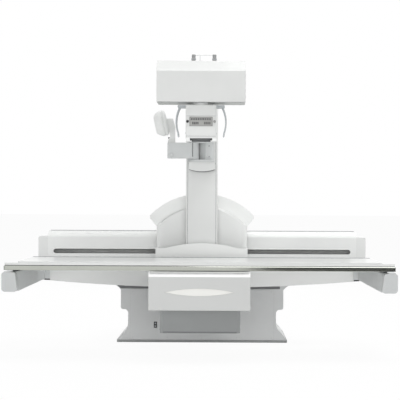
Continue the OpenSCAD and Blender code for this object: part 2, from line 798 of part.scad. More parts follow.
module column_mast() color(white) difference() {
    half = column_w / 2;
    foot_z = cover_under + foot_gap + half;
    intersection() {
        along_y(column_front, column_back) polygon(concat(
            arc(0, foot_z, half, 180, 360, 16), [[half, column_top], [-half, column_top]]));
        along_z(cover_under, column_top)
            polygon(rounded(-half, half, column_front, column_back + column_edge_r, column_edge_r, 5));
    }
    block(-half + column_wall, half - column_wall, column_front + column_wall, column_back - column_wall,
        swing_z + 60, column_top - 10);
    block(-25, 25, column_front - 1, column_front + column_wall + 1, channel_z0, channel_z1);
}

module column_hub() color(steel) {
    rod_y(0, column_back, plate_front - 8, swing_z, hub_r);
    rod_y(0, plate_front - 9, plate_front + plate_deep - 1, swing_z, spindle_r);
}

// ---- Tube carrier ----

truck_top = channel_z1 - 352;
arm_half = 55;
spindle2_r = 30;
carrier_z1 = 1700;

module tube_arm() color(pale) {
    inner = column_wall + run_gap;
    block(-column_w / 2 + inner, column_w / 2 - inner, column_front + inner, column_back - inner,
        channel_z0 + 5, truck_top);
    block(-24, 24, column_front - 7, column_front + inner + 1, channel_z0 + 15, truck_top - 5);
    along_y(carrier_front + 5, column_front - 6)
        polygon(rounded(-70, 70, channel_z0 + 15, carrier_z1 - 10, 12, 4));
    along_y(hood_back + 8, carrier_front + 6)
        polygon(rounded(-arm_half, arm_half, tube_z - 65, tube_z + 65, 24, 5));
    rod_y(0, hood_back + 1, hood_back + 9, tube_z, 62);
    rod_y(0, tube_y + 90, hood_back + 2, tube_z, spindle2_r);
}

// Outline of the carrier cover, its lower edge bowed downwards
module carrier_outline(w = 0) {
    half = 81 - w;
    r = bow(81, 13);
    a = asin(half / r);
    polygon(concat(arc(0, 1092 + w + r, r, 270 - a, 270 + a, 10),
        [[half, carrier_z1 - w], [-half, carrier_z1 - w]]));
}

module carrier_cover() color(white) difference() {
    along_y(carrier_front, column_front - 4) carrier_outline();
    along_y(carrier_front + 4, column_front - 3) carrier_outline(4);
    along_y(carrier_front - 1, carrier_front + 5)
        polygon(rounded(-arm_half - 1, arm_half + 1, tube_z - 66, tube_z + 66, 25, 5));
}

pin_x = -42;
pin_y = carrier_front - 50;
pin_r = 9;
lug_z0 = 1150;
lug_z1 = 1275;
lug_t = 12;
knuckle_r = 24;
bracket_x = 75;

module compressor_bracket() color(pale) {
    block(-80, bracket_x, carrier_front - 6, carrier_front, lug_z0, lug_z1);
    for (z = [lug_z0, lug_z1 - lug_t]) along_z(z, z + lug_t)
        polygon(concat(arc(pin_x, pin_y, knuckle_r + 4, 180, 270, 5),
            arc(bracket_x - 20, pin_y - 8, 20, 270, 360, 4),
            [[bracket_x, carrier_front - 5], [pin_x - knuckle_r - 4, carrier_front - 5]]));
    along_z(lug_z0 + lug_t - 1, lug_z1 - lug_t + 1) polygon(concat(
        arc(bracket_x - 20, pin_y + 12, 20, 270, 360, 4), [[bracket_x, carrier_front - 5], [pin_x + 28, carrier_front - 5], [pin_x + 28, pin_y + 17],
         [pin_x + 66, pin_y - 8]]));
    rod_z(pin_x, pin_y, lug_z0 + 1, lug_z1 - 1, pin_r);
}

// ---- Compression device ----

fold_z = 1188;
cone_z = 1386;
cone_tilt = 12;
cone_deep = 75;
cone_off = 27;
stud_r = 8;
post_half = 22;
post_t = 32;
cheek_t = 20;

// Folded down and swung in, the cone hangs on the tube's axis: that sets the fold axis
reach = (cone_z - fold_z) * cos(cone_tilt) + cone_off * sin(cone_tilt);
fold_x = pin_x + tube_y + reach - pin_y;
fold_y = pin_y + pin_x;
fork_y0 = fold_y - post_t / 2;
fork_y1 = fold_y + post_t / 2;
arm_box_z0 = fold_z - 20;
arm_box_z1 = lug_z1 - lug_t - seat_gap;

module compressor_arm() color(pale) difference() {
    union() {
        rod_z(pin_x, pin_y, lug_z0 + lug_t + seat_gap, arm_box_z1, knuckle_r);
        along_z(arm_box_z0, arm_box_z1) polygon([
            [fold_x - post_half - 2, fork_y0 - cheek_t], [pin_x - 22, fork_y0 - cheek_t],
            [pin_x + 19, pin_y - 14], [pin_x, pin_y + knuckle_r], [pin_x - 24, pin_y + 18],
            [pin_x - 30, fork_y1 + cheek_t], [fold_x - post_half - 2, fork_y1 + cheek_t]]);
        rod_y(fold_x, fork_y0 - cheek_t - 4, fork_y1 + cheek_t + 4, fold_z, 12);
    }
    rod_z(pin_x, pin_y, lug_z0, lug_z1, pin_r + run_gap);
    difference() {
        block(fold_x - post_half - 3, fold_x + post_half + 2, fork_y0 - seat_gap, fork_y1 + seat_gap,
            arm_box_z0 - 1, lug_z1);
        rod_y(fold_x, fork_y0 - 2, fork_y1 + 2, fold_z, 8);
    }
}

// What follows is turned to the parked cone's axis, its back at the origin
module at_cone() translate([fold_x - cone_off, fold_y, cone_z]) rotate([0, -90 - cone_tilt, 0]) children();

// The post's side that the cone seats on is parallel to the cone's back
module compressor_post() color(white) difference() {
    seat = fold_x - cone_off + seat_gap;
    along_y(fork_y0, fork_y1) polygon(concat(
        arc(fold_x, fold_z, post_half, 180, 360, 8),
        [[fold_x + post_half, cone_z - 30], [fold_x + 8, cone_z + 22],
         [seat - 22 * tan(cone_tilt), cone_z + 22], [seat + 86 * tan(cone_tilt), cone_z - 86],
         [fold_x - post_half, cone_z - 112]]));
    rod_y(fold_x, fork_y0 - 1, fork_y1 + 1, fold_z, 8 + run_gap);
    at_cone() translate([0, 0, -60]) cylinder(h = 80, r = stud_r + 0.05);
}

// The cone and the stud that holds it in the post
module compressor_cone() color(pale) at_cone() rotate_extrude() polygon([[0, -38], [stud_r, -38],
    [stud_r, 0], [cone_r - 20, 0], [cone_r - 8, 5], [cone_r, 11], [cone_r, 19], [cone_r - 4, 21],
    [cone_r - 4, 25], [cone_r, 27], [cone_r, 38], [cone_r - 4, 46], [cone_r - 11, cone_deep - 16],
    [cone_r - 20, cone_deep - 5], [cone_r - 26, cone_deep], [0, cone_deep]]);

// ---- Tube head ----

hood_top = hood_under + hood_face + hood_slope;
pan_inset = hood_wall + seat_gap;

// Section of the hood in Y and Z, moved inwards by w
function hood_section(w = 0) = let (f = hood_front + w, b = hood_back - w) [
    [f, hood_under - (w > 0 ? 1 : 0)], [f, hood_under + hood_face - w / 2],
    [f + 10, hood_under + hood_face + 16 - w / 2], [f + 52, hood_top - w], [b - 24, hood_top - w],
    [b, hood_top - 30 - w / 2], [b, hood_under - (w > 0 ? 1 : 0)]];

module tube_hood() color(white) difference() {
    along_x(-hood_w / 2, hood_w / 2) polygon(hood_section());
    along_x(-hood_w / 2 + hood_wall, hood_w / 2 - hood_wall) polygon(hood_section(hood_wall));
    rod_y(0, hood_back - hood_wall - 1, hood_back + 1, tube_z, spindle2_r + 4);
}

// Outline of the tray that closes the hood's underside, its edge moved inwards by w
module pan_outline(w = 0) polygon(rounded(-hood_w / 2 + pan_inset + w, hood_w / 2 - pan_inset - w,
    hood_front + pan_inset + w, hood_back - pan_inset - w, 5, 3));

module hood_pan() color([0.45, 0.46, 0.47]) difference() {
    along_z(pan_under, pan_under + pan_h) pan_outline();
    along_z(pan_under + 6, pan_under + pan_h + 1) pan_outline(6);
    rod_z(0, tube_y, pan_under - 1, pan_under + 7, port_r + 2);
}

housing_half = 190;
housing_r = 72;
port_r = 50;

module tube_housing() color(steel) difference() {
    union() {
        rod_x(-housing_half, housing_half, tube_y, tube_z, housing_r);
        both_sides() rod_x(housing_half - 1, housing_half + 22, tube_y, tube_z, housing_r - 14);
        rod_z(0, tube_y, pan_under + 6, tube_z - 60, port_r + 14);
        rod_y(0, tube_y + 60, hood_back - hood_wall - 2, tube_z, 50);
    }
    rod_y(0, tube_y + 88, hood_back, tube_z, spindle2_r + run_gap);
    rod_x(20 - housing_half, housing_half - 20, tube_y, tube_z, housing_r - 12);
    rod_z(0, tube_y, pan_under + 5, tube_z - 50, port_r);
}

gland_mid = 15;
gland_x = 61;

module cable_glands() color(grey) for (x = [gland_mid - gland_x, gland_mid + gland_x]) {
    rod_z(x, tube_y + 10, hood_top, hood_top + 8, 16);
    rod_z(x, tube_y + 10, hood_top + 7, hood_top + 44, 11);
}

// ---- Collimator ----

coll_half = coll_w / 2;
coll_deep = coll_d / 2;
coll_front = tube_y - coll_deep;
coll_back = tube_y + coll_deep;
slot_deep = 17;
slot_wide = 65;
case_under = coll_under + slot_deep;
display_w = coll_w - 46;
display_z0 = coll_under + 87;
display_z1 = coll_under + 140;

module collimator_case() color(white) difference() {
    union() {
        along_z(case_under, coll_top) polygon(rounded(-coll_half, coll_half, coll_front, coll_back, 8, 3));
        rod_z(0, tube_y, coll_top - 1, pan_under - run_gap, port_r + 20);
    }
    block(-coll_half + 6, coll_half - 6, coll_front + 6, coll_back - 6, case_under + 14, coll_top - 10);
    rod_z(0, tube_y, coll_top - 11, pan_under, port_r);
    block(-50, 50, tube_y - 50, tube_y + 50, case_under - 1, case_under + 15);
    block(-display_w / 2, display_w / 2, coll_front - 1, coll_front + 2, display_z0, display_z1);
}

// The rails that a filter slides into, under the case, and the stop at their back
module filter_rails() color(pale) {
    both_sides() {
        block(slot_wide, coll_half, coll_front, coll_back, coll_under, case_under);
        block(slot_wide - 10, slot_wide + 1, coll_front, coll_back, coll_under, coll_under + 3);
    }
    block(-slot_wide - 1, slot_wide + 1, coll_back - 5, coll_back, coll_under, case_under);
}

handle_top_x = 122;
handle_end_x = 134;
handle_top = coll_top - 8;
handle_end = coll_top - 162;
handle_r = 4.5;
handle_reach = 48;
handle_corner = 18;

// Half of a handle's path, from its block down to the middle of its lower bar
function bow_path() = let (
        dx = handle_end_x - handle_top_x, dz = handle_top - handle_end, c = norm([dx, dz]),
        n = [dz, dx] / c, mid = [(handle_top_x + handle_end_x) / 2, (handle_top + handle_end) / 2],
        d = sqrt(bow_r * bow_r - c * c / 4), centre = mid - d * n,
        a0 = atan2(handle_top - centre.y, handle_top_x - centre.x),
        a1 = atan2(handle_end - centre.y, handle_end_x - centre.x))
    concat(
        [for (i = [0:8]) let (t = a0 + (a1 - a0) * i / 8)
            [centre.x + bow_r * cos(t), -handle_reach, centre.y + bow_r * sin(t)]],
        [for (i = [1:4]) let (t = 90 * i / 4)
            [handle_end_x - i / 2, -handle_reach + handle_corner * (1 - cos(t)),
             handle_end - handle_corner * sin(t)]]);

module handle() {
    half = bow_path();
    path = concat(half, [for (i = [len(half) - 1:-1:0]) [half[i].x, -half[i].y, half[i].z]]);
    translate([0, tube_y, 0]) sweep(path, handle_r);
    for (s = [-1, 1])
        block(coll_half, handle_top_x + 14, tube_y + s * handle_reach - 12,
            tube_y + s * handle_reach + 12, handle_top - 5, coll_top);
}

module handle_left() color([0.55, 0.57, 0.58]) mirror([1, 0, 0]) handle();
module handle_right() color([0.55, 0.57, 0.58]) handle();

module display_panel() color(dark)
    block(-display_w / 2 + seat_gap, display_w / 2 - seat_gap, coll_front - 2,
        coll_front + 2, display_z0 + seat_gap, display_z1 - seat_gap);

knob_x = coll_half - 11;
knob_z = (display_z0 + display_z1) / 2;

module knob() difference() {
    union() {
        rod_y(knob_x, coll_front - 4, coll_front - run_gap, knob_z, 8);
        rod_y(knob_x, coll_front - 15, coll_front - 3, knob_z, 6.5);
    }
    block(knob_x - 1, knob_x + 1, coll_front - 16, coll_front - 13, knob_z, knob_z + 8);
}

module knob_left() color(dark) mirror([1, 0, 0]) knob();
module knob_right() color(dark) knob();

base_plate();
base_casting();
base_front_panel();
ballast();
service_socket();
mast_uprights();
lift_cylinders();
tower_cover();
stage_frame();
lift_rods();
upper_cylinders();
lift_carriage();
lift_rollers();
upper_rods();
tilt_bearing();
tilt_motor();
drive_cover();
tilt_pinion();
tilt_shaft();
tilt_gear();
main_beam();
beam_caps();
scan_rails();
arm_left();
arm_right();
arm_caps();
cross_rails();
top_panel();
table_frame();
accessory_rails();
slide_shoes();
scan_truck();
truck_rollers();
carriage_back();
carriage_cover();
carriage_apron();
detector_bridge();
detector_housing();
lower_housing();
image_intensifier();
grip_inset();
column_mast();
column_hub();
tube_arm();
carrier_cover();
compressor_bracket();
tube_hood();
hood_pan();
tube_housing();
cable_glands();
collimator_case();
filter_rails();
display_panel();
handle_left();
handle_right();
knob_left();
knob_right();
compressor_arm();
compressor_post();
compressor_cone();
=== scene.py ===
import math
from collections import namedtuple

import bmesh
import bpy
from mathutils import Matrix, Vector


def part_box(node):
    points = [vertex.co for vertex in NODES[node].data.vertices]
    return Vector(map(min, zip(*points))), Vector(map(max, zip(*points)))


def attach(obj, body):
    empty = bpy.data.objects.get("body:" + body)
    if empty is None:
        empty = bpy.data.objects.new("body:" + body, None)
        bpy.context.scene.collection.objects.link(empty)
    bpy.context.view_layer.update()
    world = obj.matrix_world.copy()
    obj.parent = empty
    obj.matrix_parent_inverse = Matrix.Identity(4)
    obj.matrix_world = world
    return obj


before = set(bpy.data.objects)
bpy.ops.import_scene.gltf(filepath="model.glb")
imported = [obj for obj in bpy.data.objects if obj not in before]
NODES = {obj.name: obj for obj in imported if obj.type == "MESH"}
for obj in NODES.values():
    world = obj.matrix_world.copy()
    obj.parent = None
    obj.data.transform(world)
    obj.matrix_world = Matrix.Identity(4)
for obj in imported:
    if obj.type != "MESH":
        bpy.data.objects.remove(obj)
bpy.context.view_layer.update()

# The looks of a tilting x-ray table, in metres: X runs along the table, -Y is the front, Z is up.
# The materials of the CAD nodes come first, then the small pieces that ride on the CAD's bodies,
# then the stage, the lamps and the camera.


# ---- Materials ----

COAT_ROUGHNESS = 0.05
BUMP_DEPTH = 0.0006         # height of the fine grain
BAND_BLEND = 0.0005         # half the width of a painted band's border
WEAR_RADIUS = 0.003         # how far an edge counts as an edge
CREASE_REACH = 0.03           # how far the darkening in corners and gaps reaches
WORN_ROUGHER = 0.15         # added roughness where the paint is worn
SPECK_SCALE, SCUFF_SCALE, STREAK_SCALE = 38.0, 60.0, 9.0
SMOOTHEST = 0.03
DARKER, WORN_DARKER = 0.965, 0.8


def linear(c):
    """A display colour as the linear RGBA that a shader wants."""
    return tuple(v / 12.92 if v <= 0.04045 else ((v + 0.055) / 1.055) ** 2.4 for v in c) + (1.0,)


class Graph:
    """The node tree of a material or world, with short ways to add nodes and links."""

    def __init__(self, owner):
        owner.use_nodes = True
        self.owner = owner
        self.tree = owner.node_tree
        self.shader = self.tree.nodes.get("Principled BSDF")

    def add(self, kind, **values):
        n = self.tree.nodes.new(kind)
        for k, v in values.items():
            if k in n.inputs:
                n.inputs[k].default_value = v
            else:
                setattr(n, k, v)
        return n

    def link(self, a, b):
        self.tree.links.new(a, b)

    def noise(self, scale, detail=3.0, rough=0.5, stretch=None):
        coords = self.add("ShaderNodeTexCoord").outputs["Object"]
        if stretch:
            m = self.add("ShaderNodeMapping", Scale=stretch)
            self.link(coords, m.inputs["Vector"])
            coords = m.outputs["Vector"]
        n = self.add("ShaderNodeTexNoise", Scale=scale, Detail=detail, Roughness=rough)
        self.link(coords, n.inputs["Vector"])
        return n.outputs["Fac"]

    def remap(self, value, a, b, c, d):
        n = self.add("ShaderNodeMapRange")
        for k, v in zip(("From Min", "From Max", "To Min", "To Max"), (a, b, c, d)):
            n.inputs[k].default_value = v
        self.link(value, n.inputs["Value"])
        return n.outputs["Result"]

    def math(self, op, a, b):
        n = self.add("ShaderNodeMath", operation=op)
        for i, v in enumerate((a, b)):
            if isinstance(v, (int, float)):
                n.inputs[i].default_value = v
            else:
                self.link(v, n.inputs[i])
        return n.outputs["Value"]

    def mix(self, fac, a, b):
        n = self.add("ShaderNodeMix", data_type="RGBA")
        for i, v in ((0, fac), (6, a), (7, b)):
            if isinstance(v, (tuple, float)):
                n.inputs[i].default_value = v
            else:
                self.link(v, n.inputs[i])
        return n.outputs[2]

    def edge(self, radius):
        """Near 1 on outer edges and corners, 0 on flat surfaces."""
        bevel = self.add("ShaderNodeBevel", samples=6)
        bevel.inputs["Radius"].default_value = radius
        normal = self.add("ShaderNodeNewGeometry").outputs["Normal"]
        dot = self.add("ShaderNodeVectorMath", operation="DOT_PRODUCT")
        self.link(bevel.outputs["Normal"], dot.inputs[0])
        self.link(normal, dot.inputs[1])
        return self.remap(dot.outputs["Value"], 0.99, 0.86, 0.0, 1.0)

    def crease(self, distance):
        """Near 1 in corners and gaps, 0 on open surfaces."""
        ao = self.add("ShaderNodeAmbientOcclusion", samples=6)
        ao.inputs["Distance"].default_value = distance
        return self.remap(ao.outputs["AO"], 0.75, 0.15, 0.0, 1.0)


def surface(name, colour, rough, metal=0.0, coat=0.0, tint=None, vary=0.25, patch=3.0, wear=None,
            wear_amount=0.3, crease_colour=(0.40, 0.39, 0.36), crease_darkening=0.25, grain=420.0, bump=0.06,
            stretch=None, rough_vary=0.06, band=None, even=True):
    """A painted, moulded or machined surface: clouded colour, darker in corners and gaps, worn edges, fine grain.

    band: (height, colour above it); even: roughness follows the wear alone, with no cloud in it.
    """
    g = Graph(bpy.data.materials.new(name))
    s = g.shader
    s.inputs["Metallic"].default_value = metal
    s.inputs["Coat Weight"].default_value = coat
    s.inputs["Coat Roughness"].default_value = COAT_ROUGHNESS
    base = linear(colour)
    other = linear(tint or tuple(min(1.0, c * DARKER) for c in colour))
    cloud = g.noise(patch, 4.0, 0.6)
    colour_out = g.mix(g.remap(cloud, 0.35, 0.65, 0.0, vary), base, other)
    # A colour above a height; the detector unit uses it as a painted highlight on its upper edge
    if band:
        height, above = band
        split = g.add("ShaderNodeSeparateXYZ")
        g.link(g.add("ShaderNodeTexCoord").outputs["Object"], split.inputs[0])
        raised = g.remap(split.outputs["Z"], height - BAND_BLEND, height + BAND_BLEND, 0.0, 1.0)
        colour_out = g.mix(raised, colour_out, linear(above))
    # Darker, speckled colour where ambient occlusion finds corners and gaps
    if crease_darkening:
        specks = g.remap(g.noise(SPECK_SCALE, 5.0, 0.65), 0.35, 0.7, 0.3, 1.0)
        mask = g.math("MULTIPLY", g.crease(CREASE_REACH), specks)
        colour_out = g.mix(g.math("MULTIPLY", mask, crease_darkening), colour_out, linear(crease_colour))
    if wear_amount:
        scuffs = g.remap(g.noise(SCUFF_SCALE, 4.0, 0.7), 0.42, 0.62, 0.0, 1.0)
        worn = g.math("MULTIPLY", g.edge(WEAR_RADIUS), scuffs)
        colour_out = g.mix(g.math("MULTIPLY", worn, wear_amount), colour_out,
                           linear(wear or tuple(c * WORN_DARKER for c in colour)))
    g.link(colour_out, s.inputs["Base Color"])
    fine = g.noise(grain, 2.0, 0.5, stretch)
    if even and wear_amount:
        roughness = g.remap(worn, 0.0, 1.0, rough, rough + WORN_ROUGHER)
    else:
        roughness = g.remap(g.noise(STREAK_SCALE, 5.0, 0.6, stretch), 0.3, 0.7,
                            max(SMOOTHEST, rough - rough_vary), rough + rough_vary)
    g.link(roughness, s.inputs["Roughness"])
    b = g.add("ShaderNodeBump", Strength=bump, Distance=BUMP_DEPTH)
    g.link(fine, b.inputs["Height"])
    g.link(b.outputs["Normal"], s.inputs["Normal"])
    return g.owner


MOULDED = dict(coat=0.12, vary=0.5, patch=3.1, bump=0.03)
BRIGHT = dict(coat=0.2, vary=0.4, patch=2.6, bump=0.02, rough_vary=0.012)
PRINTED = dict(vary=0.3, wear_amount=0.0, crease_darkening=0.0)
PAINTED_EDGE_HIGHLIGHT = (0.4885, (0.98, 0.98, 0.98))     # painted highlight: the detector unit's upper edge is whiter above this height

MATS = {
    "enamel": surface("white enamel", (0.895, 0.90, 0.895), 0.30, coat=0.25, vary=0.5, patch=2.2, bump=0.03,
                      rough_vary=0.02),
    "shell": surface("white moulding", (0.905, 0.91, 0.905), 0.36, **MOULDED),
    # A darker copy of the white moulding, as painted shade against the front lamp on the near hood
    "hood": surface("hood moulding", (0.855, 0.86, 0.855), 0.36, **MOULDED),
    "pale": surface("pale enamel", (0.84, 0.85, 0.85), 0.38, coat=0.10, vary=0.5, bump=0.04),
    "cast": surface("cast frame", (0.82, 0.83, 0.83), 0.42, vary=0.5, patch=6.0, grain=240.0, bump=0.08),
    "base": surface("base enamel", (0.865, 0.87, 0.87), 0.40, coat=0.08, vary=0.6, patch=4.0, grain=200.0,
                    bump=0.10, crease_darkening=0.4),
    "iron": surface("painted iron", (0.36, 0.37, 0.39), 0.55, vary=0.6, patch=7.0, grain=180.0, bump=0.3,
                    even=False),
    "steel": surface("machined steel", (0.70, 0.71, 0.72), 0.28, metal=1.0, vary=0.5, patch=9.0, grain=130.0,
                     bump=0.12, stretch=(1, 18, 18), rough_vary=0.1, even=False),
    "rail": surface("rail metal", (0.74, 0.75, 0.72), 0.11, metal=1.0, vary=0.5, patch=8.0, grain=90.0,
                    bump=0.012, stretch=(0.6, 20, 20), rough_vary=0.015, crease_darkening=0.1, even=False),
    "bronze": surface("bronze", (0.70, 0.55, 0.32), 0.32, metal=1.0, vary=0.6, patch=20.0, even=False),
    "dark": surface("dark plastic", (0.16, 0.165, 0.175), 0.42, tint=(0.21, 0.21, 0.22), vary=0.7,
                    wear=(0.34, 0.34, 0.34), crease_colour=(0.30, 0.29, 0.27), grain=500.0, bump=0.2, even=False),
    "rubber": surface("black rubber", (0.10, 0.10, 0.105), 0.65, tint=(0.15, 0.15, 0.15), vary=0.8,
                      wear=(0.26, 0.26, 0.26), crease_colour=(0.34, 0.33, 0.30), grain=300.0, bump=0.3, even=False),
    "top": surface("tabletop laminate", (0.91, 0.915, 0.91), 0.28, coat=0.3, vary=0.5, patch=1.6,
                   grain=90.0, bump=0.004, wear_amount=0.2, rough_vary=0.01),
    "pan": surface("grey pan", (0.70, 0.71, 0.70), 0.45, vary=0.5, patch=5.0),
    # Grey enamel, darkened further as painted shade: the lower housing under the detector and the base plate at
    # the foot
    "grey_and_shade": surface("grey enamel with painted shade", (0.61, 0.62, 0.62), 0.40, coat=0.06, vary=0.5, patch=4.0, bump=0.12),
    # A darker copy of the white enamel, as painted shade against the front lamp on the near detector unit
    "unit": surface("detector enamel", (0.80, 0.805, 0.80), 0.32, coat=0.2, vary=0.25, patch=2.2, bump=0.03,
                    band=PAINTED_EDGE_HIGHLIGHT),
    "gland": surface("grey nylon", (0.66, 0.66, 0.655), 0.5, vary=0.5, patch=20.0, bump=0.15),
    "handle": surface("handle enamel", (0.72, 0.74, 0.75), 0.25, coat=0.3, vary=0.5, patch=14.0),
    "grip": surface("grip inset", (0.93, 0.93, 0.915), 0.25, coat=0.3, vary=0.3, wear_amount=0.15),
    "screen": surface("display", (0.66, 0.66, 0.65), 0.25, tint=(0.70, 0.70, 0.69), vary=0.5, coat=0.3),
    "mark": surface("display marks", (0.50, 0.50, 0.49), 0.4, **PRINTED),
    "lines": surface("dark lines", (0.30, 0.31, 0.32), 0.5, **PRINTED),
    "seam": surface("seam", (0.56, 0.57, 0.58), 0.5, **PRINTED),
    "end": surface("end cap enamel", (0.775, 0.785, 0.785), 0.42, vary=0.5, patch=5.0, bump=0.12),
    # Dark strip colour: painted shade for the base's beam shadow, the lower housing's edge and the filter slot;
    # also the carrier's lower edge strip
    "joint": surface("joint strip", (0.47, 0.475, 0.48), 0.55, **PRINTED),
    "faint": surface("faint print", (0.83, 0.835, 0.835), 0.4, **PRINTED),
    "cell": surface("display cells", (0.42, 0.42, 0.42), 0.3, **PRINTED),
    # A lighter copy of the white enamel, as painted light: it lifts the carriage apron in the tabletop's shade and
    # the detector deck's top
    "lit_white": surface("bright enamel", (0.955, 0.96, 0.955), 0.32, **BRIGHT),
    "beam": surface("beam enamel", (0.93, 0.935, 0.93), 0.32, **BRIGHT),
    "glass": surface("port window", (0.24, 0.25, 0.26), 0.08, coat=0.6, vary=0.4, wear_amount=0.0),
}

PAINT = {
    "enamel": ["tower_cover", "table_frame", "column_mast", "collimator_case"],
    "lit_white": ["filter_rails", "carriage_back", "carriage_apron"],
    "beam": ["main_beam", "carriage_cover"],
    "shell": ["beam_caps", "carrier_cover", "compressor_post", "compressor_cone"],
    "hood": ["tube_hood"],
    "unit": ["detector_housing"],
    "grey_and_shade": ["lower_housing", "base_plate"],
    "gland": ["cable_glands", "knob_right"],
    "pale": ["drive_cover", "detector_bridge"],
    "end": ["arm_caps"],
    "cast": ["arm_left", "arm_right", "scan_truck", "tube_arm", "compressor_bracket", "compressor_arm"],
    "base": ["base_casting", "base_front_panel"],
    # cross_rails are dark as painted shade between the arms and the table frame; the rest is real dark paint
    "iron": ["ballast", "mast_uprights", "stage_frame", "lift_carriage", "cross_rails"],
    "steel": ["lift_cylinders", "lift_rods", "upper_cylinders", "lift_rollers", "upper_rods", "tilt_pinion",
              "tilt_shaft", "tilt_gear", "scan_rails", "truck_rollers", "column_hub"],
    "rail": ["accessory_rails"],
    "bronze": ["tilt_bearing"],
    # slide_shoes are dark as painted shade between the arms and the table frame
    "dark": ["service_socket", "tilt_motor", "slide_shoes", "knob_left"],
    "top": ["top_panel"],
    "pan": ["hood_pan", "tube_housing", "image_intensifier"],
    "handle": ["handle_left", "handle_right"],
    "grip": ["grip_inset"],
    "screen": ["display_panel"],
}

# Edge widths of the CAD nodes
BEVEL = {
    "base_casting": 0.006, "base_plate": 0.003, "base_front_panel": 0.003, "tower_cover": 0.005,
    "main_beam": 0.002, "beam_caps": 0.004, "arm_left": 0.003, "arm_right": 0.003, "arm_caps": 0.006,
    "top_panel": 0.003, "table_frame": 0.002, "detector_housing": 0.003, "lower_housing": 0.002,
    "carriage_cover": 0.004, "carriage_apron": 0.004, "carriage_back": 0.003, "column_mast": 0.004,
    "carrier_cover": 0.003, "compressor_arm": 0.003, "compressor_post": 0.003, "collimator_case": 0.003,
    "tube_hood": 0.003, "hood_pan": 0.002, "drive_cover": 0.004, "accessory_rails": 0.0008,
    "display_panel": 0.0005, "filter_rails": 0.001, "compressor_bracket": 0.002,
}

BEVEL_ANGLE = math.radians(35)
SHARP_ANGLE = math.radians(32)


def round_edges(o, width):
    m = o.modifiers.new("edge", "BEVEL")
    m.width, m.segments, m.limit_method, m.angle_limit = width, 2, "ANGLE", BEVEL_ANGLE
    m.use_clamp_overlap = True


for paint, names in PAINT.items():
    for name in names:
        slots = NODES[name].data.materials
        slots.clear()
        slots.append(MATS[paint])
for name, width in BEVEL.items():
    round_edges(NODES[name], width)


# ---- Small pieces ----

# Screw heads: radius and height
LARGE, USUAL, SMALL = (0.005, 0.002), (0.0045, 0.002), (0.004, 0.002)
LOW, FLAT, FLUSH = (0.004, 0.0015), (0.004, 0.0012), (0.004, 0.0004)
FINE, TINY = (0.0035, 0.0015), (0.003, 0.0015)
SIDES = (-1, 1)
HEX = 6                     # corners of a nut

Span = namedtuple("Span", "left right front back low high")


class Piece:
    """Collects simple solids in metres into one mesh that rides on a body."""

    def __init__(self, name, mat, body):
        self.name, self.mat, self.body = name, mat, body
        self.bm = bmesh.new()

    def box(self, x0, x1, y0, y1, z0, z1):
        v = [self.bm.verts.new((x, y, z)) for x in (x0, x1) for y in (y0, y1) for z in (z0, z1)]
        for f in ((0, 1, 3, 2), (4, 6, 7, 5), (0, 4, 5, 1), (2, 3, 7, 6), (0, 2, 6, 4), (1, 5, 7, 3)):
            self.bm.faces.new([v[i] for i in f])

    def skin(self, rings):
        """Faces between rings of vertices, with the first and the last ring closed."""
        n = len(rings[0])
        for a, b in zip(rings, rings[1:]):
            for i in range(n):
                j = (i + 1) % n
                self.bm.faces.new((a[i], a[j], b[j], b[i]))
        self.bm.faces.new(rings[0][::-1])
        self.bm.faces.new(rings[-1])

    def lathe(self, origin, axis, profile, n=24):
        """profile holds (radius, height) along the axis, closed at both ends."""
        turn = Vector((0, 0, 1)).rotation_difference(Vector(axis)).to_matrix()
        o = Vector(origin)
        angles = [2 * math.pi * i / n for i in range(n)]
        self.skin([[self.bm.verts.new(o + turn @ Vector((r * math.cos(t), r * math.sin(t), h))) for t in angles]
                   for r, h in profile])

    def rod(self, a, b, r, n=16):
        d = Vector(b) - Vector(a)
        self.lathe(a, d, [(r, 0), (r, d.length)], n)

    def screw(self, at, axis, size=USUAL):
        """A domed head with a hexagon socket."""
        r, h = size
        self.lathe(at, axis, [(r, 0), (r, h * 0.5), (r * 0.8, h), (r * 0.5, h), (r * 0.45, h * 0.35)], 18)

    def bolt(self, at, axis, r, h):
        """A washer and a hexagon head."""
        self.lathe(at, axis, [(r * 1.5, 0), (r * 1.5, h * 0.2)])
        top = Vector(at) + Vector(axis).normalized() * h * 0.2
        self.lathe(top, axis, [(r, 0), (r, h * 0.7), (r * 0.85, h * 0.8)], HEX)

    def prism(self, outline, axis, a, b):
        """outline in the two other axes, from a to b along x, y or z."""
        def at(p, w):
            return {"x": (w, p[0], p[1]), "y": (p[0], w, p[1]), "z": (p[0], p[1], w)}[axis]
        self.skin([[self.bm.verts.new(at(p, w)) for p in outline] for w in (a, b)])

    def plate_screws(self, face, axis, us, vs, size=USUAL):
        """Screws on a flat face: us and vs run along the two other axes, in x, y, z order."""
        d = "xyz".index(axis[1])
        out = [0, 0, 0]
        out[d] = 1 if axis[0] == "+" else -1
        for u in us:
            for v in vs:
                at = [u, v]
                at.insert(d, face)
                self.screw(at, out, size)

    def side_screws(self, x, ys, zs, size=USUAL):
        """Screws on both side faces, at -x and at x."""
        for s in SIDES:
            for y in ys:
                for z in zs:
                    self.screw((s * x, y, z), (s, 0, 0), size)

    def make(self, bevel=0.0):
        bmesh.ops.recalc_face_normals(self.bm, faces=self.bm.faces)
        me = bpy.data.meshes.new(self.name)
        self.bm.to_mesh(me)
        self.bm.free()
        me.materials.append(MATS[self.mat])
        me.shade_smooth()
        me.set_sharp_from_angle(angle=SHARP_ANGLE)
        o = bpy.data.objects.new(self.name, me)
        bpy.context.scene.collection.objects.link(o)
        if bevel:
            round_edges(o, bevel)
        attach(o, self.body)


def span(node):
    """The sides of a CAD node's box at rest."""
    lo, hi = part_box(node)
    return Span(lo.x, hi.x, lo.y, hi.y, lo.z, hi.z)


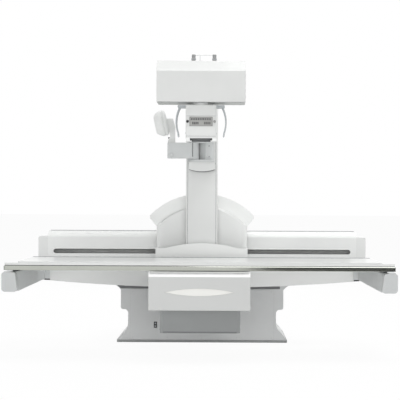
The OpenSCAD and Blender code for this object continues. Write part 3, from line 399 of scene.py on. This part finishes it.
def steps(a, b, n):
    """n even steps from a to b."""
    return [a + (b - a) * i / (n - 1) for i in range(n)]


def pair(s, a, b):
    """a and b on side s, the smaller first."""
    return sorted((s * a, s * b))


SEAM = 0.0004               # how far a seam strip is sunk and proud
SUNK = 0.001                # how far a plate or strip is sunk in what carries it
PLATE = 0.003               # thickness of a screwed-on plate

# Base
foot = span("base_plate")
panel = span("base_front_panel")
sock = span("service_socket")
p = Piece("anchor_bolts", "steel", "base")
for x in (foot.left + 0.043, foot.right - 0.043):
    for y in (foot.front + 0.06, foot.back - 0.06):
        p.bolt((x, y, foot.high), (0, 0, 1), 0.012, 0.014)
        p.rod((x, y, foot.high + 0.01), (x, y, foot.high + 0.032), 0.0065)
p.make()
p = Piece("base_panel_screws", "pale", "base")
p.plate_screws(panel.front, "-y", steps(panel.left + 0.014, panel.right - 0.014, 5),
               (panel.low + 0.013, panel.high - 0.013), FLAT)
p.make()
p = Piece("levelling_plugs", "rubber", "base")
side_x, side_z = 0.4755, 0.162      # in the base's narrow waist
for s in SIDES:
    for y in (-0.24, 0.24):
        p.lathe((s * side_x, y, side_z), (s, 0, 0), [(0.019, 0), (0.019, 0.002), (0.013, 0.004), (0.009, 0.0028)])
p.make()
p = Piece("socket_contacts", "steel", "base")
for dz in (-0.009, 0.009):
    p.lathe(((sock.left + sock.right) / 2, sock.front, (sock.low + sock.high) / 2 + dz), (0, -1, 0),
            [(0.0045, 0), (0.0045, 0.0012), (0.003, 0.0014), (0.002, 0.0004)], 16)
p.make()

# Painted shadow of the beam on the base: a dark strip above the front panel, with a wedge at the left corner
p = Piece("beam_shadow_strip", "joint", "base")
shadow_x, shadow_low, shadow_high = 0.50, 0.345, 0.362
shadow_y = (panel.back - 0.0015, panel.back + 0.001)
p.box(-shadow_x, shadow_x, *shadow_y, shadow_low, shadow_high)
p.prism([(-shadow_x - 0.05, shadow_high + 0.0085), (-shadow_x, shadow_high + 0.0085), (-shadow_x, shadow_low),
         (-shadow_x - 0.025, shadow_low)], "y", *shadow_y)
p.make(0.0005)

# Cover round the mast: louvres on the sloping back, screws on the sides and the deck
sill, ridge = Vector((0, 0.230, 0.373)), Vector((0, 0.014, 0.645))     # the slope's lower and upper edge
slope = ridge - sill
along = slope.normalized()
outward = Vector((0, -along.z, along.y)) * -1
p = Piece("cover_louvres", "shell", "base")
for i in range(9):
    for x0, x1 in ((-0.30, -0.04), (0.04, 0.30)):
        a = sill + slope * (0.30 + i * 0.055)
        b = a + along * 0.010
        p.prism([(q.y, q.z) for q in (a, a + outward * 0.006, b + outward * 0.0015, b)], "x", x0, x1)
p.make(0.0004)
p = Piece("cover_screws", "steel", "base")
for x in (-0.384, 0.0, 0.384):
    for t in (0.06, 0.94):
        p.screw(sill + slope * t + Vector((x, 0, 0)), outward, LARGE)
cover_x = 0.404
p.side_screws(cover_x, steps(-0.34, 0.10, 4), (0.40,), LARGE)
p.side_screws(cover_x, (-0.34, -0.12), (0.665,), LARGE)
p.make()
p = Piece("cable_entry", "rubber", "base")
for x in (-0.21, -0.07, 0.07, 0.21):
    p.lathe(sill + slope * 0.17 + Vector((x, 0, 0)), outward,
            [(0.026, 0), (0.026, 0.002), (0.019, 0.003), (0.019, 0.009), (0.012, 0.011)], HEX)
p.make()

# Lift and drive
drive = span("drive_cover")
mast = span("mast_uprights")
motor = span("tilt_motor")
p = Piece("drive_louvres", "shell", "lift_carriage")
for i in range(10):
    z = drive.low + 0.07 + i * 0.016
    for s in SIDES:
        p.prism([(drive.back, z), (drive.back + 0.005, z), (drive.back + 0.001, z + 0.009),
                 (drive.back, z + 0.009)], "x", *pair(s, 0.03, 0.19))
p.make(0.0004)
p = Piece("drive_screws", "steel", "lift_carriage")
p.plate_screws(drive.high, "+z", steps(drive.left + 0.02, drive.right - 0.02, 4),
               (drive.front + 0.015, drive.back - 0.015))
p.plate_screws(drive.back, "+y", (drive.left + 0.015, drive.right - 0.015), (drive.low + 0.02, drive.high - 0.02))
p.make()
p = Piece("mast_bolts", "steel", "base")
for s in SIDES:
    for z in (0.40, 0.47, 0.54, 0.61):
        for y in (mast.front + 0.03, mast.front + 0.08):
            p.bolt((s * mast.right, y, z), (s, 0, 0), 0.008, 0.007)
p.make()
p = Piece("motor_fins", "dark", "lift_carriage")
motor_x, motor_z = (motor.left + motor.right) / 2, (motor.low + motor.high) / 2
for i in range(8):
    p.lathe((motor_x, motor.back - 0.064 + i * 0.007, motor_z), (0, 1, 0),
            [(0.044, 0), (0.052, 0), (0.052, 0.003), (0.044, 0.003)], 28)
p.make()

# Beam
beam = span("main_beam")
caps = span("beam_caps")
slot_z, slot_half, slot_x = 0.592, 0.014, beam.right - 0.037
p = Piece("slot_brushes", "rubber", "tilting_frame")
for z0, z1 in ((slot_z + slot_half - 0.0025, slot_z + slot_half + 0.003),
               (slot_z - slot_half - 0.003, slot_z - slot_half + 0.0025)):
    p.box(-slot_x + 0.010, slot_x - 0.010, beam.front + 0.0062, beam.front + 0.0085, z0, z1)
p.make()

# The toothed strip inside the beam, held by brackets on the back wall
rack_x, rack_front, rack_back = 0.9662, -0.4878, -0.4860
first_tooth, tooth_pitch, teeth = -0.9261, 0.0126, 148
p = Piece("slot_rack", "lit_white", "tilting_frame")
p.box(-rack_x, rack_x, rack_front, rack_back, slot_z - 0.0155, slot_z + 0.0155)
for x in steps(-0.85, 0.85, 9):
    p.box(x - 0.008, x + 0.008, rack_back - 0.0002, beam.back - 0.0055, slot_z - 0.008, slot_z + 0.008)
for i in range(teeth):
    x = first_tooth + i * tooth_pitch
    p.box(x, x + tooth_pitch / 2, rack_front - 0.001, rack_front + 0.0002, slot_z - 0.015, slot_z + 0.015)
p.make()
p = Piece("beam_end_blocks", "pale", "tilting_frame")
for s in SIDES:
    p.box(*pair(s, 0.955, 0.992), beam.front - 0.008, beam.front + 0.02, 0.417, 0.510)
p.make(0.002)
p = Piece("beam_end_buffers", "rubber", "tilting_frame")
for s in SIDES:
    p.box(*pair(s, 0.957, 0.990), beam.front - 0.006, beam.front + 0.016, 0.410, 0.4175)
p.make(0.001)
plate_in, plate_out, plate_low, plate_high, screw_in = 0.47, 0.93, 0.45, 0.67, 0.012
p = Piece("beam_back_panels", "enamel", "tilting_frame")
for s in SIDES:
    p.box(*pair(s, plate_in, plate_out), beam.back - SUNK, beam.back + PLATE, plate_low, plate_high)
p.make(0.001)
p = Piece("beam_back_screws", "steel", "tilting_frame")
for s in SIDES:
    p.plate_screws(beam.back + PLATE, "+y", steps(s * (plate_in + screw_in), s * (plate_out - screw_in), 4),
                   (plate_low + screw_in, plate_high - screw_in), LOW)
p.make()
p = Piece("cap_screws", "steel", "tilting_frame")
p.side_screws(caps.right, (beam.front + 0.03, beam.back - 0.03), (0.53, 0.655))
p.make()
p = Piece("beam_seams", "lines", "tilting_frame")
for x in (-0.5, 0.5):
    p.box(x - 0.0006, x + 0.0006, beam.back - 0.09, beam.back - 0.002, beam.high - SEAM, beam.high + SEAM)
p.box(beam.left + 0.002, beam.right - 0.002, beam.back - 0.0935, beam.back - 0.0925, beam.high - SEAM,
      beam.high + SEAM)
p.make()
p = Piece("beam_gasket", "seam", "tilting_frame")
p.box(beam.left + 0.002, beam.right - 0.002, beam.back - 0.004, beam.back - SUNK, beam.high - SUNK,
      beam.high + 0.0028)
p.make(0.0005)

# Arms
arm = span("arm_right")
p = Piece("arm_bolts", "steel", "tilting_frame")
for s in SIDES:
    for x in (arm.right - 0.095, arm.right - 0.035):
        for z in (0.425, 0.475):
            p.bolt((s * x, arm.back, z), (0, 1, 0), 0.009, 0.008)
p.make()

# Tabletop
top = span("top_panel")
lip = span("table_frame")
rails = span("accessory_rails")
rail_low, rail_high = 0.517, 0.542
p = Piece("lip_groove", "lines", "tabletop")
p.box(lip.left + 0.001, lip.right - 0.001, lip.front - 0.0006, lip.front + SUNK, rail_high + 0.0004,
      rail_high + 0.0036)
p.make()
p = Piece("table_centre_line", "faint", "tabletop")
middle_y = (top.front + top.back) / 2
line_low = top.high - 0.0003
p.box(top.left + 0.05, top.right - 0.05, middle_y - 0.001, middle_y + 0.001, line_low, top.high + 0.0002)
for x in steps(top.left + 0.05, top.right - 0.05, 5):
    p.box(x - 0.001, x + 0.001, middle_y - 0.02, middle_y + 0.02, line_low, top.high + 0.00021)
p.make()
p = Piece("panel_gasket", "seam", "tabletop")
p.box(top.left + 0.002, top.right - 0.002, top.back - 0.004, top.back - SUNK, top.high - SUNK, top.high + 0.0022)
p.make(0.0005)
p = Piece("rail_end_plugs", "rubber", "tabletop")
for s in SIDES:
    p.box(*pair(s, rails.right, rails.right + 0.003), rails.front + 0.0005, lip.front - 0.0005,
          rail_low + 0.0005, rail_high - 0.0005)
p.make(0.001)
p = Piece("rail_screws", "steel", "tabletop")
for x in steps(top.left + 0.10, top.right - 0.10, 7):
    p.screw((x, rails.back, 0.533), (0, 1, 0), FLUSH)
p.make()

# Scan carriage
det = span("detector_housing")
low_box = span("lower_housing")
cover = span("carriage_cover")
apron = span("carriage_apron")
# Painted shadow line: a dark strip along the lower housing's bottom edge
p = Piece("housing_edge_shadow", "joint", "scan_carriage")
p.box(-0.212, 0.212, low_box.front - 0.0006, low_box.front + 0.0012, low_box.low + 0.003, low_box.low + 0.009)
p.make(0.0004)
p = Piece("detector_seams", "lines", "scan_carriage")
for s in SIDES:
    sides = pair(s, det.right - SEAM, det.right + SEAM)
    p.box(*sides, det.front + 0.04, det.back - 0.01, det.low + 0.030, det.low + 0.0312)
    p.box(*sides, det.front + 0.26, det.front + 0.2612, det.low + 0.031, det.high - 0.004)
p.make()
p = Piece("detector_screws", "steel", "scan_carriage")
p.side_screws(det.right, (det.front + 0.06, det.front + 0.30, det.back - 0.06),
              (det.low + 0.015, det.high - 0.035))
p.side_screws(low_box.right, (low_box.front + 0.03, low_box.back - 0.03), (low_box.low + 0.02,), SMALL)
p.make()
p = Piece("detector_vents", "grey_and_shade", "scan_carriage")
for i in range(9):
    z = low_box.low + 0.045 + i * 0.009
    for s in SIDES:
        x = s * low_box.right
        p.prism([(x, z), (x + s * 0.003, z), (x, z + 0.005)], "y", low_box.front + 0.10, low_box.back - 0.10)
p.make()
# Painted highlight: a lighter plate over the front of the detector's top face
p = Piece("detector_deck_highlight", "lit_white", "scan_carriage")
p.box(det.left + 0.004, det.right - 0.004, det.front + 0.004, det.front + 0.104, det.high - SUNK,
      det.high + 0.0006)
p.make(0.0004)
p = Piece("carriage_screws", "steel", "scan_carriage")
p.side_screws(cover.right, (cover.back - 0.015,), (0.44, 0.56), SMALL)
p.side_screws(apron.right, (apron.front + 0.007,), (0.44, 0.56), TINY)
p.make()

# Column
col = span("column_mast")
p = Piece("column_seams", "seam", "column")
for s in SIDES:
    p.box(s * 0.0868 - 0.0011, s * 0.0868 + 0.0011, col.front - 0.0003, col.front + SUNK, col.low + 0.12,
          col.high - 0.003)
p.make()
p = Piece("column_cap", "shell", "column")
p.box(col.left + 0.001, col.right - 0.001, col.front + 0.001, col.back - 0.001, col.high - SUNK, col.high + 0.009)
p.make(0.004)
p = Piece("column_back_panel", "enamel", "column")
p.box(-0.070, 0.070, col.back - SUNK, col.back + PLATE, 1.02, 1.70)
p.make(0.001)
p = Piece("column_back_screws", "steel", "column")
p.plate_screws(col.back + PLATE, "+y", (-0.060, 0.060), (1.035, 1.25, 1.47, 1.685), LOW)
p.make()

# Carrier and compression device
carrier = span("carrier_cover")
bracket = span("compressor_bracket")
p = Piece("carrier_screws", "steel", "tube_carrier")
p.side_screws(carrier.right, (carrier.front + 0.03,), (1.14, 1.36, 1.66), SMALL)
p.make()

# A dark strip along the carrier's lower edge, which sags as z = 2 x * x
p = Piece("carrier_gasket", "joint", "tube_carrier")
edge = [(x, carrier.low + 2.0 * x * x) for x in steps(carrier.left + 0.002, carrier.right - 0.002, 21)]
p.prism([(x, z - 0.004) for x, z in edge] + [(x, z + 0.001) for x, z in edge[::-1]], "y",
        carrier.front + 0.0015, carrier.back - 0.0005)
p.make()
swing_x, swing_y = -0.042, -0.910           # the compression device's upright pivot
fold_x, fold_y, fold_z = -0.182713, -0.952, 1.188   # and its level one
p = Piece("bracket_screws", "steel", "tube_carrier")
for z in (1.180, 1.245):
    p.screw((0.045, -0.918, z), (0, -1, 0), FLAT)
p.lathe((swing_x, swing_y, bracket.high), (0, 0, 1), [(0.014, 0), (0.014, 0.004), (0.009, 0.006)], HEX)
p.make()
p = Piece("fold_bolts", "pale", "compressor_arm")
for s in SIDES:
    p.lathe((fold_x, fold_y + s * 0.040, fold_z), (0, s, 0), [(0.009, 0), (0.009, 0.004), (0.007, 0.0055)], HEX)
p.make()
# Painted shade: a dark line on the arm's slanted end face
p = Piece("arm_edge_shade", "lines", "compressor_arm")
p.prism([(-0.0560, -0.9760), (-0.0535, -0.9721), (-0.0525, -0.9727), (-0.0550, -0.9766)], "z", 1.178, 1.262)
p.make()
p = Piece("cone_clamp", "iron", "compressor_head")
p.box(-0.203, -0.193, fold_y - 0.014, fold_y + 0.014, 1.287, 1.296)
p.make(0.001)

# Tube head
hood = span("tube_hood")
glands = span("cable_glands")
pan = span("hood_pan")
gland_x = (glands.left + 0.016, glands.right - 0.016)
gland_y = (glands.front + glands.back) / 2
p = Piece("gland_nuts", "steel", "tube_head")
for x in gland_x:
    p.lathe((x, gland_y, hood.high + 0.012), (0, 0, 1),
            [(0.0125, 0), (0.0140, 0.001), (0.0140, 0.009), (0.0125, 0.010)], HEX)
    for k in range(3):
        p.lathe((x, gland_y, hood.high + 0.027 + 0.005 * k), (0, 0, 1),
                [(0.0112, 0), (0.0122, 0.0008), (0.0122, 0.0018), (0.0112, 0.0026)], 20)
p.make()
p = Piece("gland_bar", "pale", "tube_head")
bar_x, bar_z = -0.008, hood.high + 0.040
p.rod((gland_x[0], gland_y, bar_z), (gland_x[1], gland_y, bar_z), 0.0015, 10)
p.rod((bar_x, gland_y, hood.high - SUNK), (bar_x, gland_y, bar_z), 0.0018, 10)
p.make()
p = Piece("hood_screws", "steel", "tube_head")
p.side_screws(hood.right, (hood.front + 0.05, hood.back - 0.04), (hood.low + 0.03, hood.low + 0.16))
p.make()
p = Piece("hood_vents", "shell", "tube_head")
for i in range(8):
    z = hood.low + 0.05 + i * 0.012
    for s in SIDES:
        p.prism([(hood.back - 0.0005, z), (hood.back + 0.003, z), (hood.back - 0.0005, z + 0.007)], "x",
                *pair(s, 0.10, 0.22))
p.make()
p = Piece("pan_screws", "steel", "tube_head")
p.plate_screws(pan.low, "-z", (-0.23, -0.13, 0.13, 0.23), (pan.front + 0.02, pan.back - 0.02), LOW)
p.make()
focus_y = -1.25                             # the tube's focus, over the collimator's middle
p = Piece("port_ring", "steel", "tube_head")
p.lathe((0, focus_y, pan.low - 0.0025), (0, 0, 1),
        [(0.074, 0), (0.084, 0), (0.086, 0.0022), (0.074, 0.0022)], 48)
p.make()

# Collimator
case = span("collimator_case")
disp = span("display_panel")
p = Piece("case_lines", "seam", "collimator")
for z in (1.4042, 1.2866):
    p.box(case.left + 0.004, case.right - 0.004, case.front - 0.0003, case.front + 0.0005, z, z + 0.0014)
p.make()
p = Piece("case_trim", "shell", "collimator")
p.box(case.left + 0.003, case.right - 0.003, case.front - 0.0015, case.front + 0.0005, 1.2888, 1.2920)
p.make(0.0005)
p = Piece("display_frame", "mark", "collimator")
x0, x1, z0, z1, rim = disp.left - 0.0005, disp.right + 0.0005, disp.low - 0.0005, disp.high + 0.0005, 0.0022
for a, b, c, d in ((x0, x1, z0, z0 + rim), (x0, x1, z1 - rim, z1), (x0, x0 + rim, z0, z1), (x1 - rim, x1, z0, z1)):
    p.box(a, b, disp.front - 0.0008, disp.front + 0.0008, c, d)
p.make()

# Plain cells for the keys and read-outs, as shares of the display: one row of nine, two groups of four
p = Piece("display_cells", "cell", "collimator")
wide, tall = disp.right - disp.left, disp.high - disp.low
for i in range(9):
    x = disp.left + wide * (0.055 + i * 0.1)
    p.box(x, x + wide * 0.075, disp.front - 0.0008, disp.front + 0.0005, disp.high - tall * 0.36,
          disp.high - tall * 0.12)
for start in (0.11, 0.63):
    for i in range(4):
        x = disp.left + wide * (start + i * 0.075)
        p.box(x, x + wide * 0.058, disp.front - 0.0012, disp.front + 0.0005, disp.low + tall * 0.18,
              disp.low + tall * 0.46)
p.make()
# Painted shade in the filter slot: a dark back wall and ceiling inside the case
p = Piece("filter_slot_shade", "joint", "collimator")
slot_shade_x = 0.0645
p.box(-slot_shade_x, slot_shade_x, case.back - 0.0062, case.back - 0.0052, 1.2595, 1.2755)
p.box(-slot_shade_x, slot_shade_x, case.front + 0.0015, case.back - 0.006, 1.2748, 1.2758)
p.make()
p = Piece("port_window", "glass", "collimator")
window = 0.0495
p.box(-window, window, focus_y - window, focus_y + window, 1.2765, 1.2790)
p.make()
p = Piece("case_screws", "steel", "collimator")
p.side_screws(case.right, (case.front + 0.02, case.back - 0.02), (case.low + 0.03,), FINE)
p.side_screws(0.136, (focus_y - 0.048, focus_y + 0.048), (1.4615,), LOW)
p.make()


# ---- Stage ----

WHITE = (1, 1, 1, 1)
FLOOR_SEEN = 0.94           # the share of plain white in the floor, as the camera sees it
AMBIENT = 0.52              # light from all sides


def link_new(name, data):
    o = bpy.data.objects.new(name, data)
    bpy.context.scene.collection.objects.link(o)
    return o


def stage_sheet(name, corners, graph):
    """A flat sheet of the studio, no part of the object."""
    me = bpy.data.meshes.new(name)
    me.from_pydata(corners, [], [tuple(range(len(corners)))])
    me.materials.append(graph.owner)
    o = link_new(name, me)
    return o


def matt(name, grey):
    g = Graph(bpy.data.materials.new(name))
    g.shader.inputs["Base Color"].default_value = (grey, grey, grey, 1)
    g.shader.inputs["Roughness"].default_value = 0.9
    return g


g = matt("floor", 0.95)
g.shader.inputs["Specular IOR Level"].default_value = 0.1
glow = g.add("ShaderNodeEmission", Color=WHITE, Strength=1.0)
blend = g.add("ShaderNodeMixShader")
path = g.add("ShaderNodeLightPath")
seen = g.math("MAXIMUM", path.outputs["Is Camera Ray"], path.outputs["Is Glossy Ray"])
g.link(g.math("MULTIPLY", seen, FLOOR_SEEN), blend.inputs[0])
g.link(g.shader.outputs[0], blend.inputs[1])
g.link(glow.outputs[0], blend.inputs[2])
g.link(blend.outputs[0], g.tree.nodes["Material Output"].inputs["Surface"])
FLOOR_Z = -0.001
stage_sheet("floor", [(-60, -40, FLOOR_Z), (60, -40, FLOOR_Z), (60, 80, FLOOR_Z), (-60, 80, FLOOR_Z)], g)

# Dark cards on the right, seen only in reflections: the polished front rail mirrors them
CARD_X, CARD_END, CARD_Y, CARD_TOP = 0.53, 7.0, -11.0, 1.6
NEAR_X, NEAR_Y, LAID_Z = 0.45, -8.5, 0.002
g = matt("card", 0.02)
for name, corners in (
        ("card", [(CARD_X, CARD_Y, 0.0), (CARD_END, CARD_Y, 0.0), (CARD_END, CARD_Y, CARD_TOP),
                  (CARD_X, CARD_Y, CARD_TOP)]),
        ("floor_card", [(NEAR_X, NEAR_Y, LAID_Z), (CARD_END, NEAR_Y, LAID_Z), (CARD_END, CARD_Y, LAID_Z),
                        (CARD_X, CARD_Y, LAID_Z)])):
    card = stage_sheet(name, corners, g)
    card.visible_camera = card.visible_diffuse = card.visible_shadow = card.visible_transmission = False

# The world: plain white where it is seen or mirrored, and softer as a light
world = bpy.data.worlds.new("studio")
bpy.context.scene.world = world
g = Graph(world)
g.tree.nodes.clear()
light = g.add("ShaderNodeBackground", Color=WHITE, Strength=AMBIENT)
white = g.add("ShaderNodeBackground", Color=WHITE, Strength=1.0)
pick = g.add("ShaderNodeMixShader")
path = g.add("ShaderNodeLightPath")
seen = g.math("MAXIMUM", path.outputs["Is Camera Ray"], path.outputs["Is Glossy Ray"])
g.link(g.math("MAXIMUM", seen, path.outputs["Is Transmission Ray"]), pick.inputs[0])
g.link(light.outputs[0], pick.inputs[1])
g.link(white.outputs[0], pick.inputs[2])
g.link(pick.outputs[0], g.add("ShaderNodeOutputWorld").inputs["Surface"])


def lamp(name, at, to, size, watts, mirrored=False):
    """A soft rectangular lamp that no camera sees; only a mirrored one shows in reflections."""
    d = bpy.data.lights.new(name, "AREA")
    d.shape, d.size, d.size_y, d.energy = "RECTANGLE", size[0], size[1], watts
    o = link_new(name, d)
    o.location = at
    o.rotation_euler = (Vector(to) - Vector(at)).to_track_quat("-Z", "Y").to_euler()
    o.visible_camera = False
    o.visible_glossy = mirrored


lamp("key", (1.8, -2.4, 6.4), (0, -1.1, 0.6), (5.0, 4.0), 228, mirrored=True)
lamp("front", (1.4, -14.0, 1.25), (0, -1.0, 0.9), (8.0, 2.4), 250)
lamp("side", (-9.0, -7.0, 2.2), (0, -1.0, 0.7), (4.0, 3.0), 135)
lamp("back", (-1.0, 5.5, 4.5), (0, -0.2, 0.8), (5.0, 3.0), 120)

# The photo's view: level and from the front, the frame shifted and turned a little
cam = link_new("camera", bpy.data.cameras.new("camera"))
cam.location = (0.1146, -9.90, 0.917)
cam.rotation_euler = (math.radians(90), math.radians(-0.27), 0)
cam.data.sensor_width = 36
cam.data.lens = 132.9
cam.data.shift_x = -0.051
cam.data.clip_end = 200
bpy.context.scene.camera = cam
bpy.context.scene.view_settings.view_transform = "Standard"
